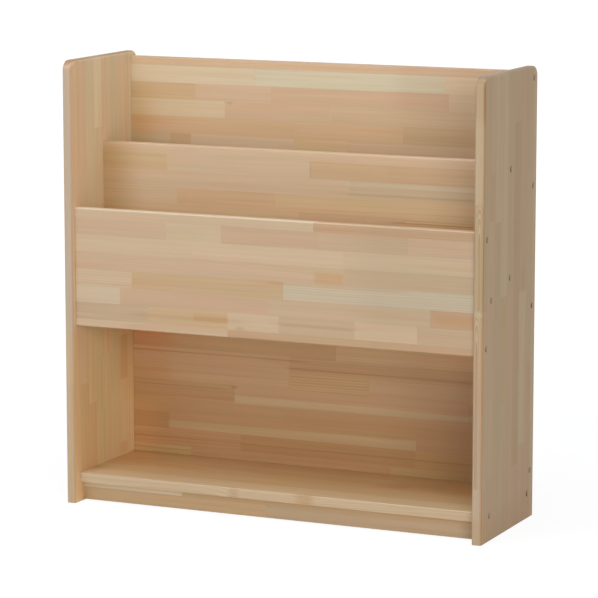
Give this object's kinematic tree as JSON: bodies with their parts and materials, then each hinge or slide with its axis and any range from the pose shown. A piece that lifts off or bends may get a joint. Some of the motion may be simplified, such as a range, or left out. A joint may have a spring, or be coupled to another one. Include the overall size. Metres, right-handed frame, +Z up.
{
  "type": "picture book shelf",
  "caption": "Free-standing pine shelf with stepped pockets that show picture books by their covers, above an open bay.",
  "frame": {"origin": "middle of the footprint, on the floor: the centre of the bounding box in X and Y, at its bottom", "axes": "+X to the right seen from the front, the open front faces -Y, +Z up"},
  "size_m": [0.9, 0.29, 0.9],
  "materials": {
    "pine_side": "clear satin lacquer on finger-jointed laminated pine",
    "pine_front": "clear satin lacquer on finger-jointed laminated pine",
    "pine_middle": "clear satin lacquer on finger-jointed laminated pine",
    "pine_back": "clear satin lacquer on finger-jointed laminated pine",
    "pine_floor": "clear satin lacquer on finger-jointed laminated pine",
    "pine_shelf": "clear satin lacquer on finger-jointed laminated pine",
    "pine_plinth": "clear satin lacquer on finger-jointed laminated pine",
    "pine_plug": "sanded flush, clear satin lacquer",
    "beech_dowel": "raw beech",
    "screw_steel": "zinc-plated"
  },
  "bodies": {
    "root": {"side_panel_left": "pine_side", "side_panel_right": "pine_side", "front_board": "pine_front", "middle_board": "pine_middle", "back_board": "pine_back", "pocket_floor": "pine_floor", "bottom_shelf": "pine_shelf", "plinth": "pine_plinth", "back_screw_1_left": "screw_steel", "back_screw_2_left": "screw_steel", "back_screw_3_left": "screw_steel", "back_screw_4_left": "screw_steel", "middle_screw_1_left": "screw_steel", "middle_screw_2_left": "screw_steel", "front_screw_1_left": "screw_steel", "front_screw_2_left": "screw_steel", "floor_screw_1_left": "screw_steel", "shelf_screw_1_left": "screw_steel", "shelf_screw_2_left": "screw_steel", "back_screw_1_right": "screw_steel", "back_screw_2_right": "screw_steel", "back_screw_3_right": "screw_steel", "back_screw_4_right": "screw_steel", "middle_screw_1_right": "screw_steel", "middle_screw_2_right": "screw_steel", "front_screw_1_right": "screw_steel", "front_screw_2_right": "screw_steel", "floor_screw_1_right": "screw_steel", "shelf_screw_1_right": "screw_steel", "shelf_screw_2_right": "screw_steel", "back_plug_1_left": "pine_plug", "back_plug_2_left": "pine_plug", "back_plug_3_left": "pine_plug", "back_plug_4_left": "pine_plug", "middle_plug_1_left": "pine_plug", "middle_plug_2_left": "pine_plug", "front_plug_1_left": "pine_plug", "front_plug_2_left": "pine_plug", "floor_plug_1_left": "pine_plug", "shelf_plug_1_left": "pine_plug", "shelf_plug_2_left": "pine_plug", "back_plug_1_right": "pine_plug", "back_plug_2_right": "pine_plug", "back_plug_3_right": "pine_plug", "back_plug_4_right": "pine_plug", "middle_plug_1_right": "pine_plug", "middle_plug_2_right": "pine_plug", "front_plug_1_right": "pine_plug", "front_plug_2_right": "pine_plug", "floor_plug_1_right": "pine_plug", "shelf_plug_1_right": "pine_plug", "shelf_plug_2_right": "pine_plug", "plinth_dowel_1": "beech_dowel", "plinth_dowel_2": "beech_dowel", "plinth_dowel_3": "beech_dowel", "floor_dowel_1": "beech_dowel", "floor_dowel_2": "beech_dowel", "floor_dowel_3": "beech_dowel"}
  },
  "joints": []
}
